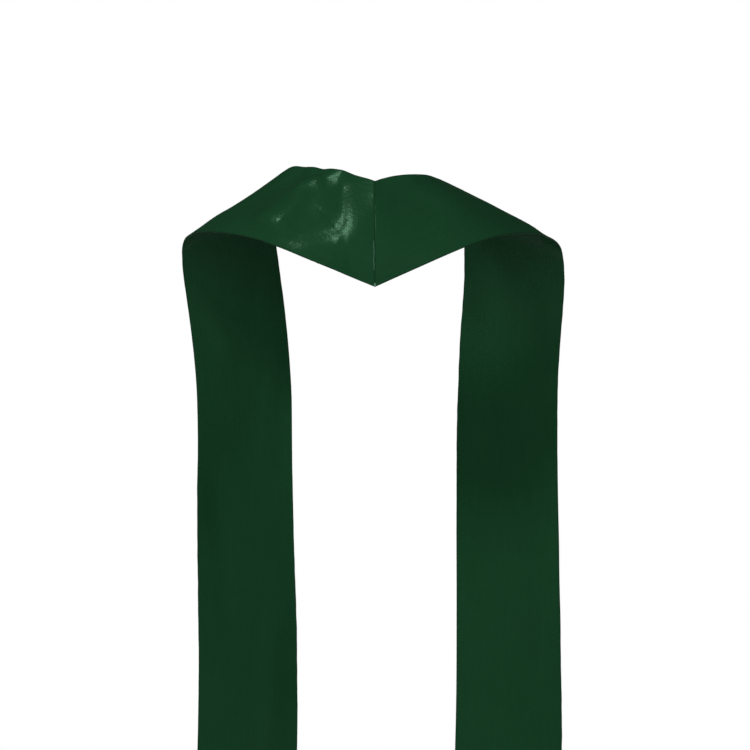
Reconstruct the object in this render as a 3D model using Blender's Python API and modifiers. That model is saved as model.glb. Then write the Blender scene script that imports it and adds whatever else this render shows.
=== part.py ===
"""Clerical stole, worn: two long satin bands joined in a point at the centre back.

Each half is one straight strip of cloth. It starts at the centre-back seam, climbs over the
shoulder at an angle and hangs down the front to a pointed hem. The strip is worked out in its
own flat cut, with a distance along it and a distance across it, and is then bent over a
shoulder line: the tables below say how steeply it lies before and behind that line.

Lengths are in millimetres and become metres in the mesh. The fronts hang at -Y and the left
half lies at +X. The origin is in the middle of the neck opening, over the shoulder lines and
level with the neck edge at the back.
"""

import bpy
import numpy as np

MM = 0.001

# The cut of one half
BAND_WIDTH = 101.5
HEM_WIDTH = 120.0
HALF_LENGTH = 1270.0
MITRE = 24.0
POINT_DEPTH = 42.0
WALL = 1.6
SEAM_GAP = 0.3

# The centre-back seam, from the neck edge down to the point of the V
SEAM_TOP = (70.0, -0.5)
SEAM_TIP = (97.0, -104.8)
SEAM_BOW = 9.0
SEAM_LEAN = (0.37, 0.06)
SEAM_EASE = 90.0

# How each half lies over its shoulder line. slope: fall of that line, in degrees. crossing:
# angle between the band and that line. neck_x and neck_z: where the neck edge crosses it.
# arch: rise of the line at mid-width. back_run: length of the neck edge behind it.
# draw_in: how far the front falls inwards.
SIDES = {
    "left": dict(
        side=1, slope=33.5, crossing=55.5, neck_x=83.5, neck_z=14.0, arch=0.5,
        back_run=111.0, draw_in=18.0,
    ),
    "right": dict(
        side=-1, slope=27.9, crossing=52.8, neck_x=66.0, neck_z=2.0, arch=2.5,
        back_run=91.0, draw_in=10.0,
    ),
}
DRAW_IN_START = 40.0
DRAW_IN_LENGTH = 240.0

# The neck edge bows backwards round the neck, most half way between seam and shoulder line
NECK_BOW = 16.0
NECK_BOW_FRONT = 35.0

# Tilt of the cloth below level, in degrees, at distances behind the shoulder line
BEHIND = np.array(
    [
        (0, 0, 0, 0, 0),
        (12, 38, 10, 14, 5),
        (24, 50, 26, 28, 15),
        (40, 28, 34, 37, 25),
        (60, 40, 42, 42, 35),
        (75, 46, 53, 42, 46),
        (90, 46, 64, 46, 59),
        (105, 50, 72, 54, 70),
        (125, 62, 79, 64, 78),
        (150, 74, 83, 76, 82),
        (190, 82, 84, 82, 84),
    ],
    dtype=[
        ("distance", float),
        ("left_neck", float),
        ("left_outer", float),
        ("right_neck", float),
        ("right_outer", float),
    ],
)

# Tilt before the shoulder line, at distances along the band. turn: how far the bends have
# swung from the shoulder line (0) to level across the chest (1).
BEFORE = np.array(
    [
        (0, 0, 0, 0.00, 0.00),
        (20, 20, 33, 0.12, 0.25),
        (42, 33, 48, 0.26, 0.50),
        (66, 42, 59, 0.41, 0.74),
        (90, 50, 68, 0.56, 0.96),
        (115, 57, 75, 0.72, 1.00),
        (140, 63, 80, 0.87, 1.00),
        (165, 69, 84, 1.00, 1.00),
        (190, 75, 86, 1.00, 1.00),
        (235, 84, 89, 1.00, 1.00),
        (290, 90, 90, 1.00, 1.00),
    ],
    dtype=[
        ("distance", float),
        ("neck", float),
        ("outer", float),
        ("turn_neck", float),
        ("turn_outer", float),
    ],
)

# Soft folds of the free hanging front, at distances along the neck edge. cup: middle of the
# band forward. swing: outer edge forward. sway: whole band outward.
HANGING = np.array(
    [
        (170, 0, 0, 0, 0, 0, 0),
        (330, 4, 3, 0, -3, 2, 0),
        (560, -5, 10, -3, 6, 12, 2),
        (820, 7, 19, 2, -4, 21, -2),
        (1160, -4, 27, -2, 6, 25, 3),
    ],
    dtype=[
        ("distance", float),
        ("left_cup", float),
        ("left_swing", float),
        ("left_sway", float),
        ("right_cup", float),
        ("right_swing", float),
        ("right_sway", float),
    ],
)
FLARE_START = 250.0

# Mesh rows: close together over the shoulder, wider apart down the front
COLUMNS = 11
SHOULDER_ROWS = 50
HANGING_ROWS = 32
SHOULDER_SHARE = 0.345

SATIN_GREEN = (0.0091, 0.0482, 0.0185, 1.0)
SATIN_ROUGHNESS = 0.42


def straight(table, column, at):
    """A table's column read at the given distances, in straight lines between its rows."""
    return np.interp(at, table["distance"], table[column])


def eased(table, column, at):
    """A table's column read at the given distances, in soft S-curves between its rows."""
    stations = table["distance"]
    row = np.clip(np.searchsorted(stations, at, side="right") - 1, 0, len(stations) - 2)
    share = smooth_step(at, stations[row], stations[row + 1] - stations[row])
    return table[column][row] * (1 - share) + table[column][row + 1] * share


def smooth_step(value, start, length):
    """0 up to start, 1 from start + length on, and 3t^2 - 2t^3 between them."""
    t = np.clip((value - start) / length, 0.0, 1.0)
    return t * t * (3.0 - 2.0 * t)


def cut_grid(half):
    """Distances along and across the flat cut, for each row and column of the mesh.

    Along is measured from where the neck edge crosses the shoulder line. The first row is the
    mitred seam and the last one the pointed hem.
    """
    across = np.linspace(0.0, BAND_WIDTH, COLUMNS)
    share = across / BAND_WIDTH
    seam = -half["back_run"] - across * np.tan(np.radians(MITRE))
    middle_of_seam = -half["back_run"] - BAND_WIDTH / 2 * np.tan(np.radians(MITRE))
    hem = middle_of_seam + HALF_LENGTH - POINT_DEPTH * np.abs(2 * share - 1)
    rows = np.concatenate(
        [
            np.linspace(0.0, SHOULDER_SHARE, SHOULDER_ROWS, endpoint=False),
            np.linspace(SHOULDER_SHARE, 1.0, HANGING_ROWS),
        ]
    )
    along = seam + (hem - seam) * rows[:, None]
    return along, across, share


def direction_of_cloth(name, half, along, past_line, share):
    """Unit direction of the band's length at each point.

    Level is a line on the cloth that runs parallel to the bends, and steep is square to it and
    to the Y axis. The band runs at the crossing angle to the bends: its part along them
    follows level, and the rest climbs towards the shoulder line behind it and falls before it.
    """
    behind_line = -past_line * np.sin(np.radians(half["crossing"]))
    tilt_behind = (1 - share) * straight(BEHIND, name + "_neck", behind_line) + share * straight(
        BEHIND, name + "_outer", behind_line
    )
    tilt_before = (1 - share) * straight(BEFORE, "neck", past_line) + share * straight(
        BEFORE, "outer", past_line
    )
    turn = (1 - share) * straight(BEFORE, "turn_neck", past_line) + share * straight(
        BEFORE, "turn_outer", past_line
    )
    is_behind = past_line < 0
    tilt = np.radians(np.where(is_behind, tilt_behind, tilt_before))
    climb = np.where(is_behind, 1.0, -1.0)
    crossing = np.radians(half["crossing"] + (90.0 - half["crossing"]) * turn)
    slope = np.radians(half["slope"] * (1 - turn))
    forward = -np.sin(crossing) * np.cos(tilt)
    lift = np.sin(crossing) * np.sin(tilt) * climb
    out = np.cos(crossing) * np.cos(slope) + lift * np.sin(slope)
    up = -np.cos(crossing) * np.sin(slope) + lift * np.cos(slope)
    return np.stack([out, forward, up], axis=-1)


def shoulder_surface(name, half, along, across, share):
    """The band over the shoulder: each lengthwise line is its direction added up step by step,
    then moved so that it crosses the shoulder line at its own place."""
    crossing = np.radians(half["crossing"])
    slope = np.radians(half["slope"])
    past_line = along - across / np.tan(crossing)
    direction = direction_of_cloth(name, half, along, past_line, share)
    steps = (direction[1:] + direction[:-1]) / 2 * np.diff(along, axis=0)[..., None]
    points = np.concatenate([np.zeros((1,) + steps.shape[1:]), np.cumsum(steps, axis=0)])
    on_line = across / np.sin(crossing)
    line = np.stack(
        [
            half["neck_x"] + on_line * np.cos(slope),
            np.zeros(COLUMNS),
            half["neck_z"] - on_line * np.sin(slope) + half["arch"] * 4 * share * (1 - share),
        ],
        axis=-1,
    )
    for column in range(COLUMNS):
        for axis in range(3):
            here = np.interp(0.0, past_line[:, column], points[:, column, axis])
            points[:, column, axis] += line[column, axis] - here
    return points


def ease_onto_seam(points, along, share):
    """Moves the first rows onto the centre-back seam, and the rows after them ever less."""
    top = np.array([SEAM_GAP / 2 + WALL / 2 * SEAM_LEAN[0], *SEAM_TOP])
    tip = np.array([SEAM_GAP / 2 + WALL / 2 * SEAM_LEAN[1], *SEAM_TIP])
    seam = top + (tip - top) * share[:, None]
    seam[:, 1] += SEAM_BOW * 4 * share * (1 - share)
    left_to_do = 1 - smooth_step(along - along[:1], 0.0, SEAM_EASE)
    return points + (seam - points[0]) * left_to_do[..., None]


def bow_round_neck(half, points, along, share):
    """Pushes the cloth back by NECK_BOW times sin^2 at the neck edge, and not at the outer edge."""
    reach = half["back_run"] + NECK_BOW_FRONT
    phase = np.clip((NECK_BOW_FRONT - along) / reach, 0.0, 1.0)
    points = points.copy()
    points[..., 1] += NECK_BOW * (1 - share) * np.sin(np.pi * phase) ** 2
    return points


def hang_front(name, half, points, along, share):
    """The front: drawn in past the shoulder line, flared to the hem, and with its soft folds."""
    points = points.copy()
    points[..., 0] -= half["draw_in"] * smooth_step(along, DRAW_IN_START, DRAW_IN_LENGTH)
    full_flare = HEM_WIDTH / BAND_WIDTH - 1
    flare = full_flare * np.clip((along - FLARE_START) / (along[-1] - FLARE_START), 0, 1)
    middle = points.mean(axis=1, keepdims=True)
    points[..., :2] += ((points - middle) * flare[..., None])[..., :2]
    cup = eased(HANGING, name + "_cup", along)
    swing = eased(HANGING, name + "_swing", along)
    points[..., 1] -= cup * 4 * share * (1 - share) + swing * share
    points[..., 0] += eased(HANGING, name + "_sway", along)
    return points


def band_points(name):
    """All points of one half in metres, as an array of rows and columns."""
    half = SIDES[name]
    along, across, share = cut_grid(half)
    points = shoulder_surface(name, half, along, across, share)
    points = ease_onto_seam(points, along, share)
    points = bow_round_neck(half, points, along, share)
    points = hang_front(name, half, points, along, share)
    points[..., 0] *= half["side"]
    return points * MM


def satin_material(name):
    material = bpy.data.materials.new(name)
    material.use_nodes = True
    shader = material.node_tree.nodes["Principled BSDF"]
    shader.inputs["Base Color"].default_value = SATIN_GREEN
    shader.inputs["Roughness"].default_value = SATIN_ROUGHNESS
    shader.inputs["Metallic"].default_value = 0.0
    return material


def make_band(name, collection):
    """One half of the stole: its surface as a grid of faces, thickened by Solidify."""
    points = band_points(name)
    rows, columns = points.shape[:2]
    corner = np.arange(rows * columns).reshape(rows, columns)
    faces = np.stack(
        [corner[:-1, :-1], corner[1:, :-1], corner[1:, 1:], corner[:-1, 1:]], axis=-1
    ).reshape(-1, 4)
    if SIDES[name]["side"] < 0:
        faces = faces[:, ::-1]
    mesh = bpy.data.meshes.new(name + "_panel")
    mesh.from_pydata(points.reshape(-1, 3).tolist(), [], faces.tolist())
    mesh.shade_smooth()
    mesh.materials.append(satin_material(name + "_satin"))
    panel = bpy.data.objects.new(name + "_panel", mesh)
    collection.objects.link(panel)
    wall = panel.modifiers.new("wall", "SOLIDIFY")
    wall.thickness = WALL * MM
    wall.offset = 0.0
    return panel


def main():
    for leftover in list(bpy.data.objects):
        bpy.data.objects.remove(leftover)
    stole = bpy.data.collections.new("clerical_stole")
    bpy.context.scene.collection.children.link(stole)
    for name in SIDES:
        make_band(name, stole)


main()
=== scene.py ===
"""Clerical stole, worn: the looks of its two satin halves.

Each half is a fine closed shell on the same shape as its plain solid: one straight strip of
cloth, mitred at the centre-back seam, bent over a shoulder line and hanging down the front.
The strip is worked out in its flat cut, with a distance along it and a distance across it.
Creases, puckers, the seam and the turned edges are placed in those same distances.
Lengths are in millimetres and become metres in the meshes. The materials, the lights, the
floor and the camera are in metres.
"""

import math

import bmesh
import bpy
import numpy as np
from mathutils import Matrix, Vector


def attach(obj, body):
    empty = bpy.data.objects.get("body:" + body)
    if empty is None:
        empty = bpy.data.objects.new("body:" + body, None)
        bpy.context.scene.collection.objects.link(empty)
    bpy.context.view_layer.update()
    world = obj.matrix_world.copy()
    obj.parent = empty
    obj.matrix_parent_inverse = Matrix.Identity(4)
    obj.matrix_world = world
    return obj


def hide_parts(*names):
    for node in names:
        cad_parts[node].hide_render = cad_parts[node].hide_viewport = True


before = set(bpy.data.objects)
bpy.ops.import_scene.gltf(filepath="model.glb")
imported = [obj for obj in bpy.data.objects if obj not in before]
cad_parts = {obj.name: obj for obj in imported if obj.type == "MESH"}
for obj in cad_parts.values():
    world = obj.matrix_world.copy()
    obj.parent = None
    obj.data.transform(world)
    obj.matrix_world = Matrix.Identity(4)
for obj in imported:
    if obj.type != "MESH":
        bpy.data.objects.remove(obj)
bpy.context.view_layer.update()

# A millimetre in metres, and the gap in metres below which two points are one
MM = 0.001
SAME_PLACE = 1e-7

# The cut of one half. MITRE: degrees between the seam and a square end. POINT_DEPTH: how much
# longer the hem's point is than its corners.
BAND_WIDTH = 101.5
HEM_WIDTH = 120.0
HALF_LENGTH = 1270.0
MITRE = 24.0
POINT_DEPTH = 42.0

# The centre-back seam, in Y and Z, from the neck edge down to the point of the V. SEAM_BOW: how
# far its middle bows back. SEAM_EASE: length over which the cloth is eased onto it. SEAM_SNAP:
# length over which the folds flatten to meet it, SEAM_OVERLAP past the middle plane.
SEAM_TOP = (70.0, -0.5)
SEAM_TIP = (97.0, -104.8)
SEAM_BOW = 9.0
SEAM_EASE = 90.0
SEAM_SNAP = 9.0
SEAM_OVERLAP = 0.2

# How each half lies over its shoulder line. slope: fall of that line, in degrees. crossing:
# angle between the band and that line. neck_x and neck_z: where the neck edge crosses it.
# arch: rise of the line at mid-width. back_run: length of the neck edge behind it.
# draw_in: how far the front falls inwards.
SIDES = {
    "left": dict(
        side=1, slope=33.5, crossing=55.5, neck_x=83.5, neck_z=14.0, arch=0.5,
        back_run=111.0, draw_in=18.0,
    ),
    "right": dict(
        side=-1, slope=27.9, crossing=52.8, neck_x=66.0, neck_z=2.0, arch=2.5,
        back_run=91.0, draw_in=10.0,
    ),
}

# Distances along the band over which the front is drawn in and from which it flares, and the
# bow of the neck edge, which starts NECK_BOW_FRONT before the shoulder line
DRAW_IN_START = 40.0
DRAW_IN_LENGTH = 240.0
NECK_BOW = 16.0
NECK_BOW_FRONT = 35.0
FLARE_START = 250.0


def named_table(columns, rows):
    """A table of numbers with named columns."""
    return np.array(rows, dtype=[(name, float) for name in columns.split()])


# Tilt of the cloth below level, in degrees, at distances behind the shoulder line
BEHIND = named_table(
    "distance left_neck left_outer right_neck right_outer",
    [
        (0, 0, 0, 0, 0),
        (12, 38, 10, 14, 5),
        (24, 50, 26, 28, 15),
        (40, 28, 34, 37, 25),
        (60, 40, 42, 42, 35),
        (75, 46, 53, 42, 46),
        (90, 46, 64, 46, 59),
        (105, 50, 72, 54, 70),
        (125, 62, 79, 64, 78),
        (150, 74, 83, 76, 82),
        (190, 82, 84, 82, 84),
    ],
)

# Tilt before the shoulder line, at distances along the band. turn: how far the bends have
# swung from the shoulder line (0) to level across the front (1).
BEFORE = named_table(
    "distance neck outer turn_neck turn_outer",
    [
        (0, 0, 0, 0.00, 0.00),
        (20, 20, 33, 0.12, 0.25),
        (42, 33, 48, 0.26, 0.50),
        (66, 42, 59, 0.41, 0.74),
        (90, 50, 68, 0.56, 0.96),
        (115, 57, 75, 0.72, 1.00),
        (140, 63, 80, 0.87, 1.00),
        (165, 69, 84, 1.00, 1.00),
        (190, 75, 86, 1.00, 1.00),
        (235, 84, 89, 1.00, 1.00),
        (290, 90, 90, 1.00, 1.00),
    ],
)

# Soft folds of the free hanging front, at distances along the neck edge. cup: middle of the
# band forward. swing: outer edge forward. sway: whole band outward.
HANGING = named_table(
    "distance left_cup left_swing left_sway right_cup right_swing right_sway",
    [
        (170, 0, 0, 0, 0, 0, 0),
        (330, 4, 3, 0, -3, 2, 0),
        (560, -5, 10, -3, 6, 12, 2),
        (820, 7, 19, 2, -4, 21, -2),
        (1160, -4, 27, -2, 6, 25, 3),
    ],
)

# Main creases, placed on the flat cut. path: points given along and across, joined by
# a smooth curve. height: out of the cloth, or into it where it is negative. left_side and
# right_side: its width on either hand of the path, where a path that runs down the front has
# the outer edge on its left.
CREASES = {
    "left": [
        # the hollow that opens at the neck edge
        dict(
            path=[(-40, -16), (-50, -2), (-64, 10), (-80, 22)],
            height=-1.3, right_side=13, left_side=12,
        ),
        dict(path=[(-43, -13), (-47, 0), (-54, 13)], height=-1.7, right_side=8, left_side=8),
        # its steep rim beside the seam
        dict(
            path=[(-70, 2), (-80, 18), (-89, 33), (-97, 48), (-101, 62)],
            height=-1.7, right_side=15, left_side=7,
        ),
        # its turn along the lower edge
        dict(
            path=[(-99, 45), (-99, 57), (-91, 67), (-79, 76), (-65, 86), (-46, 98)],
            height=-2.7, right_side=16, left_side=11,
        ),
        # the lifted fold at the neck edge
        dict(
            path=[(-18, 8), (-38, 3), (-56, -1), (-72, -3), (-88, -4)],
            height=4.4, right_side=22, left_side=13,
        ),
        # the small fold that runs on from it towards the shoulder
        dict(
            path=[(-60, 12), (-50, 20), (-40, 28), (-30, 36)],
            height=2.6, right_side=7, left_side=9,
        ),
        # the full cloth on the shoulder's side of the hollow
        dict(
            path=[(-34, 20), (-47, 44), (-49, 70), (-44, 98)],
            height=3.0, right_side=27, left_side=11,
        ),
        # the lower edge, which stands out a little
        dict(
            path=[(-118, 112), (-92, 108), (-66, 98), (-46, 86), (-26, 78), (-4, 76)],
            height=5.2, right_side=24, left_side=24,
        ),
        # faint pulls from the hollow to the lower edge
        dict(path=[(-102, 60), (-108, 80), (-117, 99)], height=0.4, right_side=3, left_side=3.5),
        dict(path=[(-112, 62), (-121, 82), (-131, 104)], height=0.45, right_side=3, left_side=2.5),
        dict(path=[(-122, 90), (-121, 97), (-120, 106)], height=-0.5, right_side=2, left_side=2),
        # over the shoulder
        dict(path=[(-14, 30), (8, 58), (36, 96)], height=-0.9, right_side=12, left_side=9),
        dict(path=[(2, -4), (26, 12), (58, 30)], height=1.1, right_side=8, left_side=7),
        dict(path=[(20, -4), (52, 10), (96, 20)], height=-1.2, right_side=8, left_side=9),
        dict(path=[(30, 60), (66, 82), (104, 104)], height=0.9, right_side=10, left_side=7),
        # where the band turns down at the front
        dict(path=[(96, -4), (140, 26), (196, 44)], height=1.5, right_side=10, left_side=12),
        dict(path=[(128, 106), (170, 76), (236, 58)], height=-1.4, right_side=12, left_side=11),
        dict(path=[(190, 8), (262, 24), (350, 34)], height=-1.2, right_side=12, left_side=10),
        # the free front
        dict(path=[(300, 88), (410, 74), (540, 74)], height=1.3, right_side=13, left_side=11),
        dict(path=[(430, 18), (560, 30), (700, 26)], height=-1.4, right_side=14, left_side=12),
        dict(path=[(640, 84), (765, 70), (900, 78)], height=1.2, right_side=12, left_side=14),
        dict(path=[(800, 16), (930, 28), (1060, 24)], height=1.1, right_side=12, left_side=13),
        # pressed across where the stole is folded away
        dict(path=[(476, -4), (479, 52), (477, 106)], height=-0.42, right_side=2, left_side=2),
        dict(path=[(832, -4), (829, 52), (833, 106)], height=0.40, right_side=2, left_side=2),
    ],
    "right": [
        # the shallow hollow between neck edge and lower edge
        dict(path=[(-90, 24), (-64, 34), (-44, 62)], height=-1.5, right_side=10, left_side=16),
        dict(path=[(-96, 60), (-68, 64), (-34, 84)], height=0.6, right_side=12, left_side=14),
        dict(path=[(-80, -4), (-62, 4), (-38, 10)], height=0.9, right_side=6, left_side=7),
        # faint pulls from the seam
        dict(path=[(-112, 58), (-98, 66), (-80, 82)], height=0.3, right_side=5, left_side=4),
        dict(path=[(-124, 88), (-112, 92), (-96, 106)], height=-0.4, right_side=3, left_side=3),
        # over the shoulder
        dict(path=[(-24, -4), (0, 18), (20, 50)], height=-1.2, right_side=8, left_side=9),
        dict(path=[(-6, 50), (26, 70), (66, 88)], height=0.8, right_side=9, left_side=10),
        dict(path=[(16, -4), (46, 12), (84, 26)], height=1.3, right_side=8, left_side=8),
        dict(path=[(44, 106), (76, 88), (118, 70)], height=-1.0, right_side=8, left_side=9),
        # where the band turns down at the front
        dict(path=[(88, -4), (138, 20), (202, 30)], height=-1.5, right_side=11, left_side=10),
        dict(path=[(120, 60), (175, 76), (250, 86)], height=1.4, right_side=12, left_side=10),
        dict(path=[(216, 20), (292, 36), (372, 36)], height=1.1, right_side=11, left_side=12),
        # the free front
        dict(path=[(340, 78), (455, 86), (580, 74)], height=-1.3, right_side=12, left_side=12),
        dict(path=[(470, 22), (600, 20), (730, 34)], height=1.4, right_side=12, left_side=13),
        dict(path=[(690, 90), (810, 76), (940, 80)], height=-1.2, right_side=13, left_side=12),
        dict(path=[(860, 26), (980, 38), (1100, 30)], height=-1.1, right_side=13, left_side=12),
        # pressed across where the stole is folded away
        dict(path=[(484, -4), (481, 52), (483, 106)], height=-0.40, right_side=2, left_side=2),
        dict(path=[(838, -4), (841, 52), (839, 106)], height=0.42, right_side=2, left_side=2),
    ],
}

# How a crease follows its path. PATH_SMOOTHING: how far each way the path is averaged, in gaps
# between its points. CREASE_FADE: share of the path over which either end fades.
# CREASE_REACH: bell widths past which a crease is left out. CREASE_BLEND: distance across the
# path over which one side's width passes into the other's.
CREASE_SAMPLES = 60
PATH_SMOOTHING = 0.45
PATH_SMOOTHING_SAMPLES = 9
CREASE_FADE = 0.28
CREASE_REACH = 3
CREASE_BLEND = 4.0

# The turned edges. EDGE_RADIUS: half the thickness over a turned allowance. HALF_WALL: half of
# the thickness past it. SEAM_TIGHTNESS: how many times sooner the edge at the seam is full.
EDGE_RADIUS = 0.86
HALF_WALL = 0.8
SEAM_TIGHTNESS = 3.0
ALLOWANCE = 9.0
ALLOWANCE_STEP = 2.4

# The columns of a table of sines, which waves() adds up
WAVE_COLUMNS = "length strength phase side_phase"

# The seam: its groove, the dip of the cloth towards it, and the gather along it
SEAM_GROOVE_DEPTH = 0.25
SEAM_GROOVE_WIDTH = 0.9
SEAM_DIP = 3.6
SEAM_DIP_REACH = 14.0
SEAM_PUCKER = 0.03
SEAM_PUCKER_START = 3.0
SEAM_PUCKER_REACH = 11.0
GATHER_WAVES = named_table(
    WAVE_COLUMNS,
    [
        (1.72, 1.0, 0.0, 0.6),
        (2.90, 0.7, 1.9, 0.0),
        (1.13, 0.5, 0.0, 1.0),
    ],
)

# The ripple of the side edges. Its first wave wanders, and worn places make it stronger.
EDGE_PUCKER = 0.24
EDGE_PUCKER_REACH = 7.0
RIPPLE_LENGTH = 3.4
RIPPLE_WANDER = 0.8
RIPPLE_WANDER_LENGTH = 23.0
RIPPLE_WAVES = named_table(
    WAVE_COLUMNS,
    [
        (6.1, 0.8, 0.0, 2.0),
        (12.7, 0.6, 1.0, 0.0),
    ],
)
WORN_MEAN = 0.55
WORN_WAVES = named_table(WAVE_COLUMNS, [(71.0, 0.45, 0.0, 1.3)])

# The slow unevenness of the cloth: two slanted waves and one that crosses another
UNEVENNESS = 0.30
SLANTED_WAVES = named_table(
    "length_along length_across side_phase",
    [
        (17.0, 21.0, 0.7),
        (29.0, -15.0, 0.0),
    ],
)
CROSSED_WAVES_ALONG = named_table(WAVE_COLUMNS, [(11.0, 0.6, 2.1, 0.0)])
CROSSED_WAVES_ACROSS = named_table(WAVE_COLUMNS, [(13.0, 1.0, 0.0, 0.0)])

# Grid stations of the shell: distances from an edge, then even steps
EDGE_STATIONS = (0.0, 0.08, 0.3, 0.62, 1.0, 1.5, 2.2, 3.0, 4.2, 5.6, 7.0, 8.4, 9.6, 10.8, 12.4)
COLUMN_STEP = 1.5
SHOULDER_STEP = 1.7
SHOULDER_END = 470.0
HANGING_STEP = 5.0

# The bar tack that closes the seam at the point of the V
TACK_STITCHES = 4
TACK_WIDTH = 2.0
TACK_SPACING = 0.7
TACK_ABOVE_TIP = 1.6
TACK_RISE = 0.8
TACK_SINK = 0.6
TACK_LEAN = 0.35
TACK_LEAN_CHANGE = 2.3
TACK_THREAD_RADIUS = 0.22

# The thread that shows beside the seam on the left half, between two distances across the cut
THREAD_FROM_SEAM = 1.1
THREAD_START = 58.0
THREAD_END = 87.0
THREAD_RADIUS = 0.12
THREAD_LIFT = 0.6 * THREAD_RADIUS
THREAD_WANDER = 0.18
THREAD_WAVES = named_table(
    WAVE_COLUMNS,
    [
        (2.3, 1.0, 0.0, 0.0),
        (1.1, 0.6, 1.0, 0.0),
    ],
)

# The tube of every thread. THREAD_TIP: its radius at the very end, as a share.
THREAD_SIDES = 8
THREAD_POINTS = 33
THREAD_TAPER_POWER = 8
THREAD_TIP = 0.2

# The satin's weave, in metres: a binding point on every fifth thread, stepped by SATIN_STEP
THREADS_PER_METRE = 3800.0
WEAVE_DEPTH = 0.000003
SLUB_DEPTH = 0.00003
GRAIN_DEPTH = 0.00034
SATIN_STEP = 2.5
BINDING_INTERVAL = 5
BINDING_SHARE = 0.35
# How far in from the edges and the seam the painted shade reaches
EDGE_SHADE_REACH = 0.0016

# Noises: scale to the metre, detail and roughness, and how far each is drawn out
STREAK_NOISE = (520.0, 4.0, 0.6)
STREAK_STRETCH = (1.0, 0.045, 1.0)
GRAIN_NOISE = (400.0, 2.0, 0.6)
GRAIN_STRETCH = (1.0, 0.7, 1.0)
PATCH_NOISE = (13.0, 3.0, 0.55)
EDGE_NOISE = (90.0, 2.0, 0.5)
TWIST_NOISE = (2600.0, 2.0, 0.5)
TWIST_STRETCH = (1.0, 1.0, 3.0)
FLOOR_NOISE = (1.5, 2.0, 0.5)

# Colours, as linear red, green, blue and alpha
WHITE = (1.0, 1.0, 1.0, 1.0)
SATIN_DARK = (0.0062, 0.0385, 0.0142, 1.0)
SATIN_LIGHT = (0.0098, 0.0530, 0.0205, 1.0)
SATIN_PATCH = (0.0120, 0.0600, 0.0245, 1.0)
# Painted shade: the darker colour along the turned edges and the seam
SATIN_EDGE_SHADE = (0.0040, 0.0240, 0.0090, 1.0)
SATIN_GLINT = (0.45, 1.0, 0.62, 1.0)
SATIN_SHEEN = (0.35, 0.85, 0.50, 1.0)
THREAD_DARK = (0.10, 0.26, 0.16, 1.0)
THREAD_LIGHT = (0.26, 0.48, 0.34, 1.0)
FLOOR_DARK = (0.56, 0.56, 0.56, 1.0)
FLOOR_LIGHT = (0.62, 0.62, 0.62, 1.0)
FLOOR_IN_VIEW = (0.08, 0.08, 0.08, 1.0)

# Gloss of the satin: its roughness grows with the patches, the streaks and the grazing angle
SATIN_SPECULAR = 0.12
SATIN_SHEEN_WEIGHT = 0.03
SATIN_SHEEN_ROUGHNESS = 0.35
SATIN_PATCH_SHARE = 0.45
SATIN_ROUGHNESS = 0.18
PATCH_ROUGHNESS = 0.07
STREAK_ROUGHNESS = 0.07
GRAZING_ROUGHNESS = 0.6
GRAZING_POWER = 3.0
SATIN_BUMP = 0.6

# Gloss and twist of the thread, and roughness of the floor
THREAD_SHEEN_WEIGHT = 0.2
THREAD_ROUGHNESS = 0.55
TWIST_ROUGHNESS = 0.15
TWIST_DEPTH = 0.00005
FLOOR_ROUGHNESS = 0.9

# Places of the colour sockets on a Mix node
MIX_FIRST = 6
MIX_SECOND = 7
MIX_RESULT = 2

# Soft boxes, in metres and watts. mirrored: the satin shows the light as a highlight.
LIGHTS = [
    dict(
        name="key", place=(1.39, 1.78, 2.00), aim=(0.05, 0.07, -0.05),
        size=0.5, power=42.0, mirrored=True,
    ),
    dict(
        name="fill", place=(0.0, 3.5, 0.62), aim=(0.0, 0.05, -0.2),
        size=2.6, power=69.0, mirrored=False,
    ),
    dict(
        name="front left", place=(1.4, -2.8, -0.8), aim=(0.0, -0.1, -0.4),
        size=1.4, power=44.0, mirrored=True,
    ),
    dict(
        name="front right", place=(-1.9, -2.5, -0.6), aim=(0.0, -0.1, -0.4),
        size=1.8, power=34.0, mirrored=True,
    ),
]

# The white surround's strength in matt and in glossy surfaces, and the floor: how strongly it
# glows in view, its height and the length of its sides
SURROUND = 0.08
GLOSSY_SURROUND = 0.015
FLOOR_GLOW = 0.93
FLOOR_LEVEL = -1.40
FLOOR_SIZE = 9.0

# The photograph's view, in metres: level, from behind, and CAMERA_DISTANCE from BACK_PLANE,
# where its square frame is FRAME_HEIGHT high. SENSOR: the frame in the camera, in millimetres.
CAMERA_DISTANCE = 2.6
BACK_PLANE = 0.09
CAMERA_HEIGHT = -0.188
FRAME_HEIGHT = 0.7125
SENSOR = 36.0


def smooth_step(value, start, length):
    """0 up to start, 1 from start + length on, and 3t^2 - 2t^3 between them."""
    t = np.clip((value - start) / length, 0.0, 1.0)
    return t * t * (3.0 - 2.0 * t)


def straight(table, column, at):
    """A table's column read at the given distances, in straight lines between its rows."""
    return np.interp(at, table["distance"], table[column])


def eased(table, column, at):
    """A table's column read at the given distances, in soft S-curves between its rows."""
    stations = table["distance"]
    row = np.clip(np.searchsorted(stations, at, side="right") - 1, 0, len(stations) - 2)
    share = smooth_step(at, stations[row], stations[row + 1] - stations[row])
    return table[column][row] * (1 - share) + table[column][row + 1] * share


def bell(distance, width):
    """exp(-(distance / width)^2)."""
    return np.exp(-((distance / width) ** 2))


def waves(table, distance, side):
    """A sum of sines: strength * sin(distance / length + phase + side_phase * side)."""
    return sum(
        row["strength"] * np.sin(distance / row["length"] + row["phase"] + row["side_phase"] * side)
        for row in table
    )


def seam_along(half, across):
    """Where the mitred seam lies along the cut: -back_run - across * tan(MITRE)."""
    return -half["back_run"] - across * math.tan(math.radians(MITRE))


def hem_along(half, across):
    """Where the pointed hem lies along the cut: HALF_LENGTH from the seam in the middle, and
    in straight lines up to POINT_DEPTH less at both side edges."""
    middle = seam_along(half, BAND_WIDTH / 2) + HALF_LENGTH
    return middle - POINT_DEPTH * np.abs(2 * across / BAND_WIDTH - 1)


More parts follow.
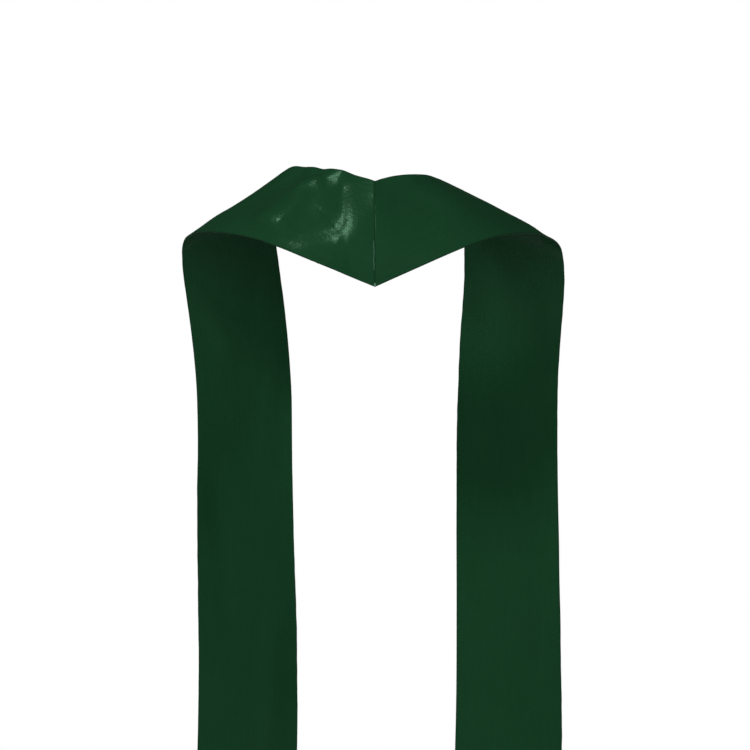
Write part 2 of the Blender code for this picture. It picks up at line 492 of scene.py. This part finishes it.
def stations(length, step_spans):
    """Distances from 0 to length: close together at both ends, and in even steps between.

    step_spans is a list of (end, step): that step is used up to that distance.
    """
    near = np.array(EDGE_STATIONS)
    spans = [near]
    start = near[-1]
    for end, step in step_spans:
        end = min(end, length - near[-1])
        count = max(1, round((end - start) / step))
        spans.append(np.linspace(start, end, count + 1)[1:])
        start = end
    spans.append(length - near[::-1][1:])
    return np.concatenate(spans)


def cut_grid(half):
    """Distances along and across the flat cut, for each row and column of the shell. Every
    column runs from the seam to the hem, with its rows at the same shares of its length."""
    across = stations(BAND_WIDTH, [(BAND_WIDTH, COLUMN_STEP)])
    rows = stations(HALF_LENGTH, [(SHOULDER_END, SHOULDER_STEP), (HALF_LENGTH, HANGING_STEP)])
    seam = seam_along(half, across)
    hem = hem_along(half, across)
    along = seam + (hem - seam) * (rows / HALF_LENGTH)[:, None]
    return along, np.broadcast_to(across, along.shape)


def across_the_width(table, neck, outer, at, share):
    """A table's neck column and outer column, mixed in straight lines across the band."""
    return (1 - share) * straight(table, neck, at) + share * straight(table, outer, at)


def direction_of_cloth(name, half, past_line, share):
    """Unit direction of the band's length at each point.

    The band runs at the crossing angle to the bends. Its part along them follows the slope of
    the bends, and the rest climbs towards the shoulder line behind it and falls before it, at
    the tilt that the tables give.
    """
    behind_line = -past_line * math.sin(math.radians(half["crossing"]))
    tilt_behind = across_the_width(BEHIND, name + "_neck", name + "_outer", behind_line, share)
    tilt_before = across_the_width(BEFORE, "neck", "outer", past_line, share)
    turn = across_the_width(BEFORE, "turn_neck", "turn_outer", past_line, share)
    is_behind = past_line < 0
    tilt = np.radians(np.where(is_behind, tilt_behind, tilt_before))
    climb = np.where(is_behind, 1.0, -1.0)
    crossing = np.radians(half["crossing"] + (90.0 - half["crossing"]) * turn)
    slope = np.radians(half["slope"] * (1 - turn))
    forward = -np.sin(crossing) * np.cos(tilt)
    lift = np.sin(crossing) * np.sin(tilt) * climb
    out = np.cos(crossing) * np.cos(slope) + lift * np.sin(slope)
    up = -np.cos(crossing) * np.sin(slope) + lift * np.cos(slope)
    return np.stack([out, forward, up], axis=-1)


def over_the_shoulder(name, half, along, across):
    """The band over its shoulder line: each lengthwise line is its direction added up step by
    step, then moved so that it crosses the shoulder line at its own place."""
    crossing = math.radians(half["crossing"])
    slope = math.radians(half["slope"])
    share = across / BAND_WIDTH
    past_line = along - across / math.tan(crossing)
    direction = direction_of_cloth(name, half, past_line, share)
    steps = (direction[1:] + direction[:-1]) / 2 * np.diff(along, axis=0)[..., None]
    points = np.concatenate([np.zeros((1,) + steps.shape[1:]), np.cumsum(steps, axis=0)])
    first = share[0]
    on_line = across[0] / math.sin(crossing)
    rise = half["arch"] * 4 * first * (1 - first)
    line = np.stack(
        [
            half["neck_x"] + on_line * math.cos(slope),
            np.zeros_like(on_line),
            half["neck_z"] - on_line * math.sin(slope) + rise,
        ],
        axis=-1,
    )
    row = (past_line < 0).sum(axis=0)
    column = np.arange(len(first))
    before, after = past_line[row - 1, column], past_line[row, column]
    step = (-before / (after - before))[:, None]
    here = points[row - 1, column] * (1 - step) + points[row, column] * step
    return points + (line - here)


def onto_seam(points, along, share):
    """Moves the first row onto the centre-back seam, and the rows after it ever less. The seam
    is a straight line from top to tip, bowed back by 4s(1 - s) at a share s of its length."""
    top = np.array([0.0, *SEAM_TOP])
    tip = np.array([0.0, *SEAM_TIP])
    first = share[0]
    seam = top + (tip - top) * first[:, None]
    seam[:, 1] += SEAM_BOW * 4 * first * (1 - first)
    left_to_do = 1 - smooth_step(along - along[:1], 0.0, SEAM_EASE)
    return points + (seam - points[0]) * left_to_do[..., None]


def round_the_neck(half, points, along, share):
    """Pushes the cloth back by NECK_BOW times sin^2 at the neck edge, and not at the outer edge."""
    reach = half["back_run"] + NECK_BOW_FRONT
    phase = np.clip((NECK_BOW_FRONT - along) / reach, 0.0, 1.0)
    points = points.copy()
    points[..., 1] += NECK_BOW * (1 - share) * np.sin(np.pi * phase) ** 2
    return points


def down_the_front(name, half, points, along, share):
    """The front: drawn in below the shoulder, and flared about the middle of each row, ever
    more towards the hem. At a share s of the width its soft folds come forward by the cup
    times 4s(1 - s) and by the swing times s, and the sway moves whole rows outwards."""
    points = points.copy()
    points[..., 0] -= half["draw_in"] * smooth_step(along, DRAW_IN_START, DRAW_IN_LENGTH)
    full_flare = HEM_WIDTH / BAND_WIDTH - 1
    flare = full_flare * np.clip((along - FLARE_START) / (along[-1] - FLARE_START), 0, 1)
    width = share[:, 1:] - share[:, :-1]
    between = (points[:, 1:] + points[:, :-1]) / 2
    middle = (between * width[..., None]).sum(axis=1, keepdims=True)
    points[..., :2] += ((points - middle) * flare[..., None])[..., :2]
    cup = eased(HANGING, name + "_cup", along)
    swing = eased(HANGING, name + "_swing", along)
    points[..., 1] -= cup * 4 * share * (1 - share) + swing * share
    points[..., 0] += eased(HANGING, name + "_sway", along)
    return points


def outward_normals(points):
    """Unit normals of a grid: the cross product of its two directions, towards the outside."""
    down = np.gradient(points, axis=0)
    over = np.gradient(points, axis=1)
    normal = np.cross(down, over)
    return normal / np.linalg.norm(normal, axis=-1, keepdims=True)


def smooth_path(path):
    """A smooth curve along given points: straight lines between them, averaged over
    PATH_SMOOTHING gaps each way, with both ends kept."""
    corners = np.array(path, float)
    at = np.linspace(0, len(corners) - 1, CREASE_SAMPLES)
    before = 2 * corners[:1] - corners[1:2]
    after = 2 * corners[-1:] - corners[-2:-1]
    beyond = np.concatenate([before, corners, after])
    station = np.arange(-1, len(corners) + 1)
    spread = np.linspace(-PATH_SMOOTHING, PATH_SMOOTHING, PATH_SMOOTHING_SAMPLES)
    near = at[:, None] + spread
    means = [np.interp(near, station, beyond[:, axis]).mean(axis=1) for axis in (0, 1)]
    return np.stack(means, axis=-1)


def crease(fold, along, across):
    """Height of one crease at each point of the cut: a bell of the distance to its path, with
    one width on each side, that fades towards both ends."""
    curve = smooth_path(fold["path"])
    slope = np.gradient(curve, axis=0)
    reach = CREASE_REACH * max(fold["right_side"], fold["left_side"])
    low = curve.min(axis=0) - reach
    high = curve.max(axis=0) + reach
    near = (along > low[0]) & (along < high[0]) & (across > low[1]) & (across < high[1])
    place = np.stack([along[near], across[near]], axis=-1)
    gap = place[:, None] - curve[None]
    squared = (gap**2).sum(axis=-1)
    nearest = squared.argmin(axis=1)
    offset = gap[np.arange(len(place)), nearest]
    run = slope[nearest]
    turned = run[:, 0] * offset[:, 1] - run[:, 1] * offset[:, 0]
    to_left = turned / np.linalg.norm(run, axis=1)
    blend = smooth_step(to_left, -CREASE_BLEND / 2, CREASE_BLEND)
    width = fold["right_side"] * (1 - blend) + fold["left_side"] * blend
    t = nearest / (CREASE_SAMPLES - 1)
    fade = smooth_step(t, 0.0, CREASE_FADE) * smooth_step(1 - t, 0.0, CREASE_FADE)
    height = np.zeros_like(along)
    height[near] = fold["height"] * fade * np.exp(-squared.min(axis=1) / width**2)
    return height


def relief(name, half, along, across):
    """How far the cloth stands out at each point: the creases, the groove and dip of the seam,
    its gather, the ripple of the edges and a slow unevenness. Each is a bell, a decay or a sum
    of sines of the distances on the cut."""
    side = half["side"]
    height = sum(crease(fold, along, across) for fold in CREASES[name])
    from_seam = (along - seam_along(half, across)) * math.cos(math.radians(MITRE))
    from_side = np.minimum(across, BAND_WIDTH - across)
    height -= SEAM_GROOVE_DEPTH * bell(from_seam, SEAM_GROOVE_WIDTH)
    height -= SEAM_DIP * np.exp(-from_seam / SEAM_DIP_REACH)
    gather = waves(GATHER_WAVES, across, side) * np.exp(-from_seam / SEAM_PUCKER_REACH)
    height += SEAM_PUCKER * gather * smooth_step(from_seam, 0.0, SEAM_PUCKER_START)
    wander = RIPPLE_WANDER * np.sin(along / RIPPLE_WANDER_LENGTH)
    ripple = np.sin(along / RIPPLE_LENGTH + wander) + waves(RIPPLE_WAVES, along, side)
    worn = WORN_MEAN + waves(WORN_WAVES, along, side)
    height += EDGE_PUCKER * worn * ripple * np.exp(-from_side / EDGE_PUCKER_REACH)
    slanted = sum(
        np.sin(
            along / row["length_along"] + across / row["length_across"] + row["side_phase"] * side
        )
        for row in SLANTED_WAVES
    )
    crossed = waves(CROSSED_WAVES_ALONG, along, side) * waves(CROSSED_WAVES_ACROSS, across, side)
    height += UNEVENNESS * (slanted + crossed)
    return height


def distance_to_edge(half, along, across, seam_share=1.0):
    """Least distance on the cut from each point to a side edge, the seam or the hem. The
    distance to the seam counts seam_share times."""
    from_seam = (along - seam_along(half, across)) * math.cos(math.radians(MITRE)) * seam_share
    hem_angle = math.atan(2 * POINT_DEPTH / HEM_WIDTH)
    from_hem = (hem_along(half, across) - along) * math.cos(hem_angle)
    from_side = np.minimum(across, BAND_WIDTH - across)
    return np.minimum(np.minimum(from_seam, from_hem), from_side)


def half_thickness(from_edge):
    """A half round at the very edge, a full turned allowance behind it, and the plain wall."""
    inside = np.clip(from_edge, 0.0, EDGE_RADIUS)
    rounded = np.sqrt(EDGE_RADIUS**2 - (EDGE_RADIUS - inside) ** 2)
    step = smooth_step(from_edge, ALLOWANCE - ALLOWANCE_STEP / 2, ALLOWANCE_STEP)
    return rounded - (EDGE_RADIUS - HALF_WALL) * step


def mesh_object(name, points, faces, material):
    """A mesh object at the origin from points in millimetres and four-sided faces."""
    mesh = bpy.data.meshes.new(name)
    mesh.from_pydata((points * MM).tolist(), [], faces.tolist())
    mesh.materials.append(material)
    mesh.shade_smooth()
    piece = bpy.data.objects.new(name, mesh)
    bpy.context.scene.collection.objects.link(piece)
    return piece


def grid_faces(rows, columns):
    """Four corners of each face of a grid whose columns join up in a ring."""
    corner = np.arange(rows * columns).reshape(rows, columns)
    after = np.roll(corner, -1, axis=1)
    return np.stack([corner[:-1], after[:-1], after[1:], corner[1:]], axis=-1).reshape(-1, 4)


def add_cloth_uv(mesh, along, across):
    """A UV map named cloth: metres across and along the flat cut, read by the satin."""
    layer = mesh.uv_layers.new(name="cloth")
    corner = np.empty(len(mesh.loops), np.int32)
    mesh.loops.foreach_get("vertex_index", corner)
    place = np.stack([across, along], axis=-1)[corner] * MM
    layer.data.foreach_set("uv", place.astype(np.float32).ravel())


def add_edge_attribute(mesh, from_edge):
    """A point attribute named from_edge: metres to the nearest edge of the cut."""
    layer = mesh.attributes.new("from_edge", "FLOAT", "POINT")
    layer.data.foreach_set("value", (from_edge * MM).astype(np.float32))


def middle_surface(name):
    """The middle surface of one half: distances on its cut, points and outward normals. The
    relief moves each point along its normal. The first rows are then snapped to the seam."""
    half = SIDES[name]
    along, across = cut_grid(half)
    share = across / BAND_WIDTH
    points = over_the_shoulder(name, half, along, across)
    points = onto_seam(points, along, share)
    points = round_the_neck(half, points, along, share)
    points = down_the_front(name, half, points, along, share)
    points = points + outward_normals(points) * relief(name, half, along, across)[..., None]
    from_seam = (along - along[:1]) * math.cos(math.radians(MITRE))
    at_seam = 1 - smooth_step(from_seam, 0.0, SEAM_SNAP)
    points[..., 0] -= (points[:1, :, 0] + SEAM_OVERLAP) * at_seam
    return along, across, points, outward_normals(points)


def satin_shell(name, material):
    """One half of the stole: a closed shell round its middle surface.

    Each row runs from the neck edge to the outer edge on the outside and back on the inside.
    A point lies on the middle surface, plus or minus half the thickness along the normal, and
    never past the seam's plane.
    """
    half = SIDES[name]
    along, across, points, normal = middle_surface(name)
    from_edge = distance_to_edge(half, along, across)
    rounding = distance_to_edge(half, along, across, SEAM_TIGHTNESS)
    offset = normal * half_thickness(rounding)[..., None]
    ring = np.concatenate([points + offset, (points - offset)[:, -2:0:-1]], axis=1)
    ring[..., 0] = np.maximum(ring[..., 0], 0.0)
    ring[..., 0] *= half["side"]
    faces = grid_faces(*ring.shape[:2])
    if half["side"] < 0:
        faces = faces[:, ::-1]
    piece = mesh_object(name + "_satin", ring.reshape(-1, 3), faces, material)

    def on_ring(values):
        """Values of the grid, for the outside of each row and then its inside."""
        return np.concatenate([values, values[:, -2:0:-1]], axis=1).ravel()

    add_cloth_uv(piece.data, on_ring(along), on_ring(across))
    add_edge_attribute(piece.data, on_ring(from_edge))
    close_ends(piece.data)
    return piece


def close_ends(mesh):
    """Joins the outside and inside rows that meet at the seam and at the hem."""
    form = bmesh.new()
    form.from_mesh(mesh)
    bmesh.ops.remove_doubles(form, verts=form.verts, dist=SAME_PLACE)
    bmesh.ops.recalc_face_normals(form, faces=form.faces)
    form.to_mesh(mesh)
    form.free()
    mesh.shade_smooth()


def tack_stitch(number):
    """The path of one stitch of the bar tack: a half-sine arch across the seam, sunk at both
    ends. Each stitch lies above the one before and leans by a sine of its number."""
    t = np.linspace(0.0, 1.0, THREAD_POINTS)
    tip_y, tip_z = SEAM_TIP
    lean = TACK_LEAN * math.sin(TACK_LEAN_CHANGE * number)
    return np.stack(
        [
            TACK_WIDTH * (t - 0.5),
            tip_y + TACK_RISE * np.sin(np.pi * t) - TACK_SINK,
            tip_z + TACK_ABOVE_TIP + TACK_SPACING * number + lean * (t - 0.5),
        ],
        axis=-1,
    )


def thread_beside_seam():
    """The path of the thread beside the seam: on the outside of the left half, along the row
    nearest to THREAD_FROM_SEAM from the seam, with a small wander of two sines."""
    along, across, points, normal = middle_surface("left")
    from_seam = (along[:, 0] - along[0, 0]) * math.cos(math.radians(MITRE))
    row = np.abs(from_seam - THREAD_FROM_SEAM).argmin()
    outside = points[row] + normal[row] * (EDGE_RADIUS + THREAD_LIFT)
    at = np.linspace(THREAD_START, THREAD_END, THREAD_POINTS)
    path = np.stack([np.interp(at, across[row], outside[:, axis]) for axis in range(3)], axis=-1)
    path[:, 0] += THREAD_WANDER * waves(THREAD_WAVES, at, SIDES["left"]["side"])
    return path


def thread_tube(path, radius):
    """Points of a tube round a path, on circles square to it. The radius is multiplied by
    sqrt(1 - (2t - 1)^THREAD_TAPER_POWER), and by THREAD_TIP at least."""
    t = np.linspace(0.0, 1.0, len(path))
    angle = np.linspace(0.0, 2 * np.pi, THREAD_SIDES, endpoint=False)
    taper = np.sqrt(1 - (2 * t - 1) ** THREAD_TAPER_POWER)
    thickness = radius * np.maximum(taper, THREAD_TIP)
    run = np.gradient(path, axis=0)
    run /= np.linalg.norm(run, axis=1, keepdims=True)
    side = np.cross(run, [0.0, 1.0, 0.0])
    side /= np.linalg.norm(side, axis=1, keepdims=True)
    top = np.cross(side, run)
    to_side = np.cos(angle)[None, :, None] * side[:, None]
    to_top = np.sin(angle)[None, :, None] * top[:, None]
    around = (to_side + to_top) * thickness[:, None, None]
    return (path[:, None] + around).reshape(-1, 3)


def seam_thread(material):
    """The bar tack at the point of the V and the thread beside the seam, joined in one mesh."""
    stitches = [tack_stitch(number) for number in range(TACK_STITCHES)]
    tubes = [thread_tube(stitch, TACK_THREAD_RADIUS) for stitch in stitches]
    tubes.append(thread_tube(thread_beside_seam(), THREAD_RADIUS))
    one_tube = grid_faces(THREAD_POINTS, THREAD_SIDES)
    faces = [one_tube + number * THREAD_POINTS * THREAD_SIDES for number in range(len(tubes))]
    piece = mesh_object("seam_thread", np.concatenate(tubes), np.concatenate(faces), material)
    form = bmesh.new()
    form.from_mesh(piece.data)
    bmesh.ops.holes_fill(form, edges=form.edges, sides=THREAD_SIDES)
    bmesh.ops.recalc_face_normals(form, faces=form.faces)
    form.to_mesh(piece.data)
    form.free()
    piece.data.shade_smooth()
    return piece


def new_group(name, inputs, outputs):
    """An empty shader node group with named sockets, and its input and output nodes."""
    group = bpy.data.node_groups.new(name, "ShaderNodeTree")
    for socket, kind, value in inputs:
        made = group.interface.new_socket(socket, in_out="INPUT", socket_type=kind)
        if value is not None:
            made.default_value = value
    for socket, kind in outputs:
        group.interface.new_socket(socket, in_out="OUTPUT", socket_type=kind)
    return group, group.nodes.new("NodeGroupInput"), group.nodes.new("NodeGroupOutput")


def calculate(tree, operation, *values):
    """A Math node; each value is a number or the socket that feeds it."""
    node = tree.nodes.new("ShaderNodeMath")
    node.operation = operation
    for socket, value in zip(node.inputs, values):
        if isinstance(value, (int, float)):
            socket.default_value = value
        else:
            tree.links.new(value, socket)
    return node.outputs[0]


def scaled(tree, vector, scale):
    """A vector with each of its parts multiplied."""
    node = tree.nodes.new("ShaderNodeVectorMath")
    node.operation = "MULTIPLY"
    tree.links.new(vector, node.inputs[0])
    node.inputs[1].default_value = scale
    return node.outputs[0]


def noise(tree, vector, scale, detail, roughness):
    """A noise texture's value on the given coordinates."""
    node = tree.nodes.new("ShaderNodeTexNoise")
    node.inputs["Scale"].default_value = scale
    node.inputs["Detail"].default_value = detail
    node.inputs["Roughness"].default_value = roughness
    tree.links.new(vector, node.inputs["Vector"])
    return node.outputs["Fac"]


def satin_weave_group():
    """Satin cloth in metres on its cut: long floats of thread with short binding points, thread
    streaks along the length and slow patches. Puts out a height in metres and two masks."""
    group, given, made = new_group(
        "satin_weave",
        [
            ("Cloth", "NodeSocketVector", None),
            ("Threads per metre", "NodeSocketFloat", THREADS_PER_METRE),
            ("Weave depth", "NodeSocketFloat", WEAVE_DEPTH),
            ("Slub depth", "NodeSocketFloat", SLUB_DEPTH),
            ("Grain depth", "NodeSocketFloat", GRAIN_DEPTH),
        ],
        [
            ("Height", "NodeSocketFloat"),
            ("Streaks", "NodeSocketFloat"),
            ("Patches", "NodeSocketFloat"),
        ],
    )
    cloth = given.outputs["Cloth"]
    split = group.nodes.new("ShaderNodeSeparateXYZ")
    group.links.new(cloth, split.inputs[0])
    turns = calculate(group, "MULTIPLY", given.outputs["Threads per metre"], math.tau)
    warp = calculate(group, "SINE", calculate(group, "MULTIPLY", split.outputs["X"], turns))
    stepped = calculate(group, "MULTIPLY", split.outputs["X"], SATIN_STEP)
    diagonal = calculate(group, "ADD", split.outputs["Y"], stepped)
    binding_turns = calculate(group, "MULTIPLY", turns, 1 / BINDING_INTERVAL)
    binding = calculate(group, "SINE", calculate(group, "MULTIPLY", diagonal, binding_turns))
    woven = calculate(group, "MULTIPLY_ADD", binding, BINDING_SHARE, warp)
    streaks = noise(group, scaled(group, cloth, STREAK_STRETCH), *STREAK_NOISE)
    patches = noise(group, cloth, *PATCH_NOISE)
    fine = calculate(group, "MULTIPLY", woven, given.outputs["Weave depth"])
    slub = calculate(group, "MULTIPLY", streaks, given.outputs["Slub depth"])
    grain = noise(group, scaled(group, cloth, GRAIN_STRETCH), *GRAIN_NOISE)
    grained = calculate(group, "MULTIPLY_ADD", grain, given.outputs["Grain depth"], slub)
    group.links.new(calculate(group, "ADD", fine, grained), made.inputs["Height"])
    group.links.new(streaks, made.inputs["Streaks"])
    group.links.new(patches, made.inputs["Patches"])
    return group


def edge_shade_group():
    """A mask of painted shade along the edges and the seam: 1 - distance / reach, and 0 past the
    reach, times a noise.
    """
    group, given, made = new_group(
        "painted_edge_shade",
        [("Cloth", "NodeSocketVector", None), ("Reach", "NodeSocketFloat", EDGE_SHADE_REACH)],
        [("Mask", "NodeSocketFloat")],
    )
    distance = group.nodes.new("ShaderNodeAttribute")
    distance.attribute_name = "from_edge"
    share = calculate(group, "DIVIDE", distance.outputs["Fac"], given.outputs["Reach"])
    close = group.nodes.new("ShaderNodeMath")
    close.operation = "SUBTRACT"
    close.use_clamp = True
    close.inputs[0].default_value = 1.0
    group.links.new(share, close.inputs[1])
    uneven = noise(group, given.outputs["Cloth"], *EDGE_NOISE)
    mask = calculate(group, "MULTIPLY", close.outputs[0], uneven)
    group.links.new(mask, made.inputs["Mask"])
    return group


def mixed_colour(tree, factor, first, second):
    """A mix of two colours, each given as a colour or as the socket that feeds it."""
    node = tree.nodes.new("ShaderNodeMix")
    node.data_type = "RGBA"
    tree.links.new(factor, node.inputs["Factor"])
    for socket, value in ((node.inputs[MIX_FIRST], first), (node.inputs[MIX_SECOND], second)):
        if isinstance(value, tuple):
            socket.default_value = value
        else:
            tree.links.new(value, socket)
    return node.outputs[MIX_RESULT]


def green_satin(weave, painted_edge_shade):
    """Deep green satin: streaked colour, painted shade along the edges and the seam, uneven gloss
    and a woven bump, whose height is in metres."""
    material = bpy.data.materials.new("green_satin")
    material.use_nodes = True
    tree = material.node_tree
    shader = tree.nodes["Principled BSDF"]
    shader.inputs["Specular IOR Level"].default_value = SATIN_SPECULAR
    shader.inputs["Specular Tint"].default_value = SATIN_GLINT
    shader.inputs["Sheen Weight"].default_value = SATIN_SHEEN_WEIGHT
    shader.inputs["Sheen Roughness"].default_value = SATIN_SHEEN_ROUGHNESS
    shader.inputs["Sheen Tint"].default_value = SATIN_SHEEN
    cloth = tree.nodes.new("ShaderNodeUVMap")
    cloth.uv_map = "cloth"
    satin = tree.nodes.new("ShaderNodeGroup")
    satin.node_tree = weave
    tree.links.new(cloth.outputs["UV"], satin.inputs["Cloth"])
    edge = tree.nodes.new("ShaderNodeGroup")
    edge.node_tree = painted_edge_shade
    tree.links.new(cloth.outputs["UV"], edge.inputs["Cloth"])
    streaks = satin.outputs["Streaks"]
    patches = satin.outputs["Patches"]
    streaked = mixed_colour(tree, streaks, SATIN_DARK, SATIN_LIGHT)
    patch = calculate(tree, "MULTIPLY", patches, SATIN_PATCH_SHARE)
    patched = mixed_colour(tree, patch, streaked, SATIN_PATCH)
    # Painted shade: darker colour along the turned edges and the seam
    colour = mixed_colour(tree, edge.outputs["Mask"], patched, SATIN_EDGE_SHADE)
    tree.links.new(colour, shader.inputs["Base Color"])
    patchy = calculate(tree, "MULTIPLY_ADD", patches, PATCH_ROUGHNESS, SATIN_ROUGHNESS)
    woven = calculate(tree, "MULTIPLY_ADD", streaks, STREAK_ROUGHNESS, patchy)
    facing = tree.nodes.new("ShaderNodeLayerWeight").outputs["Facing"]
    grazing = calculate(tree, "POWER", facing, GRAZING_POWER)
    rough = calculate(tree, "MULTIPLY_ADD", grazing, GRAZING_ROUGHNESS, woven)
    tree.links.new(rough, shader.inputs["Roughness"])
    bump = tree.nodes.new("ShaderNodeBump")
    bump.inputs["Strength"].default_value = SATIN_BUMP
    bump.inputs["Distance"].default_value = 1.0
    tree.links.new(satin.outputs["Height"], bump.inputs["Height"])
    tree.links.new(bump.outputs["Normal"], shader.inputs["Normal"])
    return material


def pale_thread():
    """Sewing thread: pale green, matt, with a fine twist in its colour and bump."""
    material = bpy.data.materials.new("pale_thread")
    material.use_nodes = True
    tree = material.node_tree
    shader = tree.nodes["Principled BSDF"]
    shader.inputs["Sheen Weight"].default_value = THREAD_SHEEN_WEIGHT
    place = tree.nodes.new("ShaderNodeTexCoord").outputs["Object"]
    twist = noise(tree, scaled(tree, place, TWIST_STRETCH), *TWIST_NOISE)
    colour = mixed_colour(tree, twist, THREAD_DARK, THREAD_LIGHT)
    tree.links.new(colour, shader.inputs["Base Color"])
    rough = calculate(tree, "MULTIPLY_ADD", twist, TWIST_ROUGHNESS, THREAD_ROUGHNESS)
    tree.links.new(rough, shader.inputs["Roughness"])
    bump = tree.nodes.new("ShaderNodeBump")
    bump.inputs["Distance"].default_value = TWIST_DEPTH
    tree.links.new(twist, bump.inputs["Height"])
    tree.links.new(bump.outputs["Normal"], shader.inputs["Normal"])
    return material


def dress_halves():
    """Makes both halves and the thread of their seam, hangs them on the root body and hides each
    half's plain panel.
    """
    satin = green_satin(satin_weave_group(), edge_shade_group())
    thread = seam_thread(pale_thread())
    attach(thread, "root")
    for name in SIDES:
        piece = satin_shell(name, satin)
        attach(piece, "root")
        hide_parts(name + "_panel")


def pale_floor():
    """A plain pale floor: a square at FLOOR_LEVEL, mottled, that glows only as the camera sees
    it, so that its edge stays faint against the white surround."""
    side = FLOOR_SIZE / 2
    corners = [(-side, -side), (side, -side), (side, side), (-side, side)]
    mesh = bpy.data.meshes.new("floor")
    mesh.from_pydata([(x, y, FLOOR_LEVEL) for x, y in corners], [], [(0, 1, 2, 3)])
    material = bpy.data.materials.new("pale_floor")
    material.use_nodes = True
    tree = material.node_tree
    shader = tree.nodes["Principled BSDF"]
    shader.inputs["Roughness"].default_value = FLOOR_ROUGHNESS
    shader.inputs["Emission Color"].default_value = WHITE
    seen = tree.nodes.new("ShaderNodeLightPath").outputs["Is Camera Ray"]
    glow = calculate(tree, "MULTIPLY", seen, FLOOR_GLOW)
    tree.links.new(glow, shader.inputs["Emission Strength"])
    place = tree.nodes.new("ShaderNodeTexCoord").outputs["Object"]
    mottle = noise(tree, place, *FLOOR_NOISE)
    pale = mixed_colour(tree, mottle, FLOOR_DARK, FLOOR_LIGHT)
    shown = mixed_colour(tree, seen, pale, FLOOR_IN_VIEW)
    tree.links.new(shown, shader.inputs["Base Color"])
    mesh.materials.append(material)
    floor = bpy.data.objects.new("floor", mesh)
    bpy.context.scene.collection.objects.link(floor)


def softbox(name, place, aim, size, power, mirrored):
    """A square area light that faces a point, and shows in glossy surfaces if mirrored."""
    light = bpy.data.lights.new(name, "AREA")
    light.shape = "SQUARE"
    light.size = size
    light.energy = power
    lamp = bpy.data.objects.new(name, light)
    lamp.visible_glossy = mirrored
    lamp.location = place
    lamp.rotation_euler = (Vector(aim) - Vector(place)).to_track_quat("-Z", "Y").to_euler()
    bpy.context.scene.collection.objects.link(lamp)


def studio_light():
    """A white surround that lights softly, and the soft boxes. The surround's strength is 1 for
    the camera, GLOSSY_SURROUND in glossy surfaces and SURROUND in matt ones."""
    world = bpy.data.worlds.new("studio")
    world.use_nodes = True
    tree = world.node_tree
    background = tree.nodes["Background"]
    background.inputs["Color"].default_value = WHITE
    rays = tree.nodes.new("ShaderNodeLightPath")
    matt = calculate(
        tree, "MULTIPLY_ADD", rays.outputs["Is Glossy Ray"], GLOSSY_SURROUND - SURROUND, SURROUND
    )
    strength = calculate(
        tree, "MULTIPLY_ADD", rays.outputs["Is Camera Ray"], 1 - SURROUND, matt
    )
    tree.links.new(strength, background.inputs["Strength"])
    bpy.context.scene.world = world
    for light in LIGHTS:
        softbox(**light)


def photograph_camera():
    """A level camera behind the stole, at the photograph's angle and framing."""
    camera = bpy.data.cameras.new("camera")
    camera.sensor_width = SENSOR
    camera.lens = SENSOR * CAMERA_DISTANCE / FRAME_HEIGHT
    view = bpy.data.objects.new("camera", camera)
    view.location = (0.0, BACK_PLANE + CAMERA_DISTANCE, CAMERA_HEIGHT)
    view.rotation_euler = (math.radians(90), 0.0, math.radians(180))
    bpy.context.scene.collection.objects.link(view)
    bpy.context.scene.camera = view


def main():
    """Makes the pieces and their stage."""
    bpy.context.scene.view_settings.view_transform = "Standard"
    dress_halves()
    pale_floor()
    studio_light()
    photograph_camera()


main()
